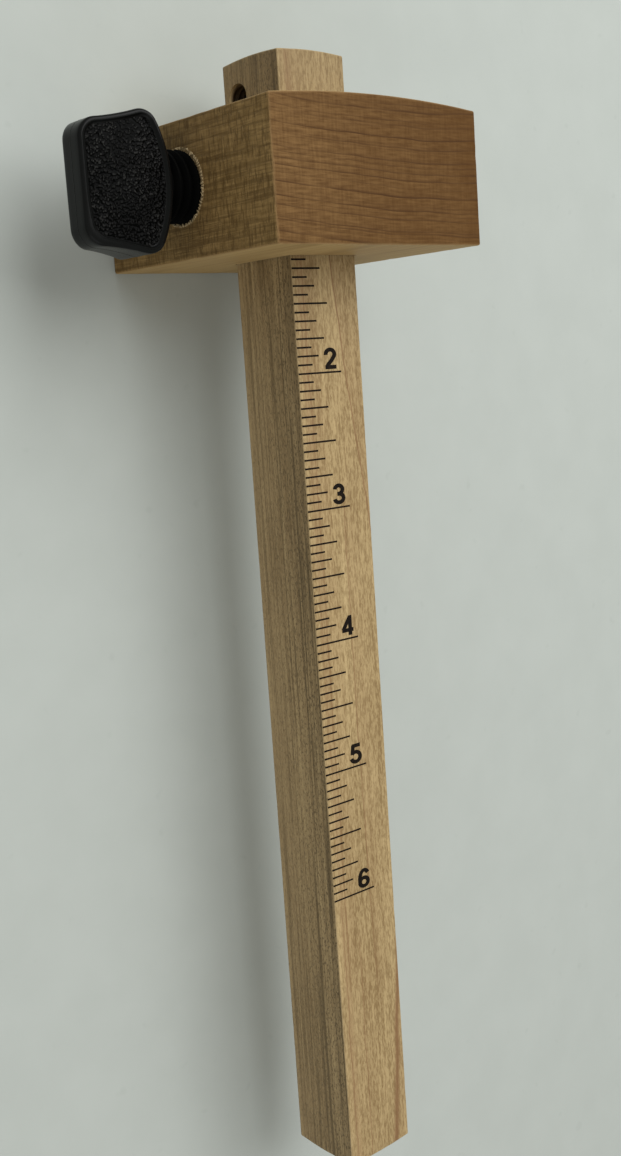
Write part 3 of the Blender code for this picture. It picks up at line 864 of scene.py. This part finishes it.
def makeThumbScrew():
    look = gripLook
    rings, panelStart, peak = gripRings()
    bm = bmesh.new()

    def vertex(point, side):
        x, away, z = point
        return bm.verts.new((knobPlace.x + x, knobPlace.y - away, knobPlace.z + z * side))

    seam = [vertex(point, 1.0) for point in rings[0]]
    for side in (1.0, -1.0):
        before = seam
        for index, ring in enumerate(rings[1:], 1):
            now = [vertex(point, side) for point in ring]
            for i in range(len(now)):
                face = bm.faces.new((before[i - 1], before[i], now[i], now[i - 1]))
                face.material_index = 1 if index > panelStart else 0
            before = now
        centre = vertex(peak, side)
        for i in range(len(before)):
            bm.faces.new((before[i - 1], before[i], centre)).material_index = 1
    bmesh.ops.recalc_face_normals(bm, faces=bm.faces)
    plastics = (plainPlastic("blackPlastic"), grainedPlastic(), plainPlastic("threadPlastic"))
    grip = newPiece("thumb_screw_moulding", bm, *plastics)

    major, chamfer = clampThread["major"], clampThread["chamfer"]
    tip = height(shoeLow.y) + clampThread["tipGap"]
    crest = look["corner"] - look["bulge"]
    neck = crest + look["sink"]
    lip = 0.1 * mm
    shank = threaded("shank", clampThread, 0.0,
                     [(0, neck), (major - look["sink"], neck), (major + lip, crest - lip),
                      (major * 2, crest - lip * 2), (major * 2, tip + major + chamfer),
                      (major - chamfer, tip), (0, tip)], knobPlace)
    for plastic in plastics:
        shank.data.materials.append(plastic)
    for face in shank.data.polygons:
        face.material_index = len(plastics) - 1
    combine(grip, shank, "UNION")
    smoothed(grip, 38)
    attach(grip, "thumb_screw", "black_plastic", "thumb_screw")
    print("thumb screw made")


# metal pieces: brass shoe, ground pin, slotted screw behind the pin

setThread = {"major": 2.5 * mm, "depth": 0.5 * mm, "pitch": 1.27 * mm, "clearance": 0.3 * mm}

pinLook = {
    "colour": (0.42, 0.42, 0.43),
    "dark": (0.26, 0.26, 0.27),
    "flange": 1.2 * mm,
    "shaft": 1.2 * mm,
    "point": 2.8 * mm,
    "pointWaist": 0.55,
    "flat": 0.12 * mm,
    "edge": 0.15 * mm,
    "travel": 1.27 * mm,
    "gap": 0.3 * mm,
}

setScrewLook = {"colour": (0.30, 0.30, 0.31), "dark": (0.13, 0.115, 0.10), "slotWidth": 0.9 * mm,
                "slotDepth": 1.2 * mm, "chamfer": 0.4 * mm}

shoeLook = {"colour": (0.56, 0.38, 0.14), "dark": (0.34, 0.215, 0.075), "chamfer": 0.3 * mm}

metalGrain = {"lathe": ((260, 7000, 260), 2.0), "tarnish": ((800, 800, 800), 4.0, 0.55, 2.0, 0.42, 0.7)}


def turnedMetal(name, look, roughness):
    # lathe marks round the screws' direction, and dull patches
    metal = Shader(name, roughness, metallic=1.0)
    lathe = metal.grain(*metalGrain["lathe"])
    tarnish = metal.grain(*metalGrain["tarnish"])
    return metal.finish(metal.mix(tarnish, look["colour"], look["dark"]), metal.bump(lathe, 0.02 * mm, 0.5))


def makeShoe():
    low, high = height(shoeHigh.y), height(shoeLow.y)
    radius = (shoeHigh.x - shoeLow.x) / 2
    chamfer = shoeLook["chamfer"]
    rim = radius - chamfer
    shoe = turned("wear_shoe_disc",
                  [(0, high), (rim, high), (radius, high - chamfer), (radius, low + chamfer), (rim, low),
                   (0, low)], knobPlace)
    shoe.data.materials.append(turnedMetal("brass", shoeLook, 0.38))
    smoothed(shoe, 30)
    attach(shoe, "shoe", "brass", "wear_shoe")


def makePin():
    look = pinLook
    seat, tip = height(pinLow.y), height(pinHigh.y)
    flange, shaft, point, edge = (pinHigh.x - pinLow.x) / 2, look["shaft"], look["point"], look["edge"]
    shoulder = seat - look["flange"]
    pin = turned("scribing_pin_point",
                 [(0, seat), (flange - edge, seat), (flange, seat - edge), (flange, shoulder + edge),
                  (flange - edge, shoulder), (shaft, shoulder), (shaft, tip + point),
                  (shaft * look["pointWaist"], tip + point / 2), (look["flat"], tip), (0, tip)], pinPlace)
    pin.data.materials.append(turnedMetal("pinSteel", look, 0.28))
    smoothed(pin, 25)
    attach(pin, "pin", "pin_steel", "scribing_pin")


def makePinScrew():
    look = setScrewLook
    low, high = height(setHigh.y), height(setLow.y)
    major, chamfer = setThread["major"], look["chamfer"]
    wide = major + setThread["clearance"]
    screw = threaded("pin_screw_slotted", setThread, 0.0,
                     [(0, high), (major - chamfer, high), (wide, high - chamfer - wide + major),
                      (wide, low + chamfer + wide - major), (major - chamfer, low), (0, low)],
                     pinPlace, steps=48)
    half = Vector((major + past, look["slotDepth"], look["slotWidth"] / 2))
    centre = Vector((pinPlace.x, setLow.y, pinPlace.z))
    combine(screw, newPiece("slot", gridBlock(centre - half, centre + half, (1, 1, 1))), "DIFFERENCE")
    screw.data.materials.append(turnedMetal("screwSteel", look, 0.42))
    smoothed(screw, 30)
    attach(screw, "pin_screw", "screw_steel", "pin_screw")
    print("metal pieces made")


# printed scale: sixteenths from zero to six inches, with plain numbers at the inches

markSizes = {
    "count": 96,
    "spacing": inch / 16,
    "width": 0.34 * mm,
    "thickness": 0.16 * mm,
    "fromEdge": 0.10 * mm,
    "sixteenth": 3.45 * mm,
    "eighth": 5.1 * mm,
    "quarter": 6.7 * mm,
    "half": 8.0 * mm,
    "whole": 10.5 * mm,
    "lift": 0.012 * mm,
}

numberLook = {"height": 3.85 * mm, "widen": 1.30, "middle": 0.31, "stroke": 0.195, "at": 8.05 * mm,
              "gap": 0.62 * mm, "thickness": 0.10 * mm, "lift": 0.012 * mm}

inkLook = {"colour": (0.006, 0.0036, 0.0024), "worn": (0.022, 0.013, 0.007),
           "wear": ((2600, 2600, 2600), 3.0, 0.55, 0.0, 0.55, 0.75)}

ringSteps = 32  # a stroke with this many points is a closed ring, and no other stroke has as many


def bow(x, y, wide, high, start, end, steps=22):
    # points on part of an oval, from one angle to another in degrees
    turns = [math.radians(start + (end - start) * i / steps) for i in range(steps + 1)]
    return [(x + wide * math.cos(turn), y + high * math.sin(turn)) for turn in turns]


# plain bold numbers as pen strokes, in a box 0.62 wide and 1 high
penStrokes = {
    1: ([(0.40, 0.0), (0.40, 1.0)], [(0.41, 0.95), (0.35, 0.85), (0.26, 0.775), (0.10, 0.745)]),
    2: (bow(0.305, 0.70, 0.215, 0.2175, 187, -28) + [(0.36, 0.40), (0.19, 0.22), (0.125, 0.10)],
        [(0.035, 0.0825), (0.59, 0.0825)]),
    3: (bow(0.295, 0.715, 0.195, 0.2025, 172, -90) + [(0.22, 0.5125)],
        [(0.22, 0.505)] + bow(0.30, 0.293, 0.225, 0.2105, 90, -172)),
    4: ([(0.43, 0.93), (0.075, 0.30)], [(0.02, 0.268), (0.605, 0.268)], [(0.435, 0.0), (0.435, 1.0)]),
    5: ([(0.12, 0.9175), (0.55, 0.9175)], [(0.185, 0.96), (0.125, 0.47)],
        [(0.11, 0.50)] + bow(0.295, 0.335, 0.23, 0.2525, 128, -168)),
    6: (bow(0.31, 0.30, 0.2175, 0.2175, 0, 360, ringSteps)[:-1], bow(0.335, 0.44, 0.2425, 0.4775, 190, 38)),
}


def penStroke(points, width, thickness):
    # a flat bar of one width along the points, joined up where they are a ring
    points = [Vector(point) for point in points]
    count = len(points)
    ring = count == ringSteps
    bm = bmesh.new()
    rows = []
    for i, point in enumerate(points):
        before = point - points[i - 1] if ring or i else points[1] - point
        after = points[(i + 1) % count] - point if ring or i < count - 1 else before
        along = (before.normalized() + after.normalized()).normalized()
        out = Vector((-along.y, along.x)) * width / 2 / max(0.5, along.dot(after.normalized()))
        rows.append([bm.verts.new((*(point + out * side), z)) for side, z in
                     ((1, 0.0), (-1, 0.0), (-1, thickness), (1, thickness))])
    for i in range(count if ring else count - 1):
        here, there = rows[i], rows[(i + 1) % count]
        for k in range(4):
            bm.faces.new((here[k], here[(k + 1) % 4], there[(k + 1) % 4], there[k]))
    if not ring:
        bm.faces.new(rows[0])
        bm.faces.new(rows[-1])
    bmesh.ops.recalc_face_normals(bm, faces=bm.faces)
    return newPiece("stroke", bm)


def inkMaterial():
    ink = Shader("ink", roughness=0.6, specular=0.08)
    return ink.finish(ink.mix(ink.grain(*inkLook["wear"]), inkLook["colour"], inkLook["worn"]))


def makeMarks(ink):
    pattern = Pattern("scale_marks", markSizes, ink)
    given = pattern.given
    index = pattern.plus(pattern.add("GeometryNodeInputIndex"), 1.0)
    length = given["sixteenth"]
    for every, label in ((2, "eighth"), (4, "quarter"), (8, "half"), (16, "whole")):
        left = pattern.math("MODULO", index, float(every))
        fits = pattern.add("FunctionNodeCompare", {0: left, 1: 0.5}, data_type="FLOAT", operation="LESS_THAN")
        length = pattern.add("GeometryNodeSwitch", {0: fits, 1: length, 2: given[label]}, input_type="FLOAT")
    line = pattern.add("GeometryNodeMeshLine",
                       {"Count": given["count"], "Offset": pattern.vector(given["spacing"])})
    shift = pattern.vector(given["spacing"], pattern.plus(pattern.times(length, 0.5), given["fromEdge"]))
    points = pattern.add("GeometryNodeSetPosition", {"Geometry": line, "Offset": shift})
    unit = pattern.add("GeometryNodeMeshCube", {"Size": (1.0, 1.0, 1.0)})
    marks = pattern.add("GeometryNodeInstanceOnPoints",
                        {"Points": points, "Instance": unit,
                         "Scale": pattern.vector(given["width"], length, given["thickness"])})
    piece = pattern.build(marks)
    lift = markSizes["lift"] - markSizes["thickness"] / 2
    piece.data.transform(Matrix.Translation((pinAxis.x, beamLow.y, beamHigh.z + lift)))
    attach(piece, "beam", "beam_wood")
    print("scale marked")


def makeNumbers(ink):
    look = numberLook
    upright = Matrix.Rotation(math.radians(90), 4, "Z")
    size = Matrix.Diagonal((look["height"] * look["widen"], look["height"], look["height"], 1.0))
    middle = Matrix.Translation((-look["middle"], 0, 0))
    bm = bmesh.new()
    for number, strokes in penStrokes.items():
        digit, *others = [penStroke(points, look["stroke"], look["thickness"] / look["height"])
                          for points in strokes]
        for other in others:
            combine(digit, other, "UNION")
        foot = Vector((pinAxis.x + number * inch - look["gap"], beamLow.y + look["at"],
                       beamHigh.z + look["lift"] - look["thickness"]))
        digit.data.transform(Matrix.Translation(foot) @ upright @ size @ middle)
        bm.from_mesh(digit.data)
        bpy.data.objects.remove(digit)
    attach(newPiece("scale_numbers", bm, ink), "beam", "beam_wood")
    print("numbers printed")


# plain pale floor and studio light

floorLook = {"colour": (0.452, 0.490, 0.465), "shade": (0.416, 0.452, 0.427), "size": 4.0,
             "mottle": ((70, 70, 70), 5.0, 0.55, 0.0, 0.35, 0.65),
             "speck": ((260, 260, 260), 1.0, 0.55, 3.0, 0.70, 0.78),
             "fade": (0.55, 1.6)}  # it thins out into the backdrop between these distances

lamps = {
    "key": {"place": (-0.53, 0.20, 0.84), "size": 0.95, "power": 9.8},
    "fill": {"place": (0.85, -0.60, 0.60), "size": 0.9, "power": 1.9},
}

worldLook = {"colour": (0.86, 0.83, 0.775), "strength": 0.56, "backdrop": (0.50, 0.53, 0.49)}


def makeStage():
    floor = Shader("paleFloor", roughness=0.8, specular=0.1)
    mottle, speck = floor.grain(*floorLook["mottle"]), floor.grain(*floorLook["speck"])
    tone = floor.mix(floor.plus(floor.times(mottle, 0.4), floor.times(speck, 0.5)),
                     floorLook["colour"], floorLook["shade"])
    material = floor.finish(tone)
    away = floor.math("SQRT", floor.plus(floor.times(floor.x, floor.x), floor.times(floor.y, floor.y)))
    clear = floor.add("ShaderNodeBsdfTransparent")
    faded = floor.add("ShaderNodeMixShader",
                      {0: floor.level(away, *floorLook["fade"]), 1: floor.out, 2: clear})
    floor.put(floor.tree.nodes["Material Output"].inputs[0], faded)
    bm = bmesh.new()
    bmesh.ops.create_grid(bm, x_segments=1, y_segments=1, size=floorLook["size"] / 2)
    newPiece("floor", bm, material)
    print("floor laid")


def makeLights():
    for name, lamp in lamps.items():
        data = bpy.data.lights.new(name, "AREA")
        data.size = lamp["size"]
        data.energy = lamp["power"]
        made = newObject(name, data)
        made.location = lamp["place"]
        made.rotation_euler = (-Vector(lamp["place"])).to_track_quat("-Z", "Y").to_euler()
    world = bpy.data.worlds.new("studio")
    world.use_nodes = True
    sky = Graph(world.node_tree)
    light = sky.tree.nodes["Background"]
    sky.put(light.inputs["Color"], worldLook["colour"])
    sky.put(light.inputs["Strength"], worldLook["strength"])
    backdrop = sky.add("ShaderNodeBackground", {"Color": worldLook["backdrop"], "Strength": 1.0})
    ray = sky.add("ShaderNodeLightPath").outputs
    seen = sky.math("MAXIMUM", ray["Is Camera Ray"],
                    sky.math("MAXIMUM", ray["Is Glossy Ray"], ray["Is Transmission Ray"]))
    both = sky.add("ShaderNodeMixShader", {0: seen, 1: light, 2: backdrop})
    sky.put(sky.tree.nodes["World Output"].inputs[0], both)
    scene.world = world
    scene.view_settings.view_transform = "Standard"
    print("lights set")


makeCamera()
makeStage()
makeLights()
makeBeam()
makeHead()
makeRimFibres()
makeThumbScrew()
makeShoe()
makePin()
makePinScrew()
ink = inkMaterial()
makeMarks(ink)
makeNumbers(ink)
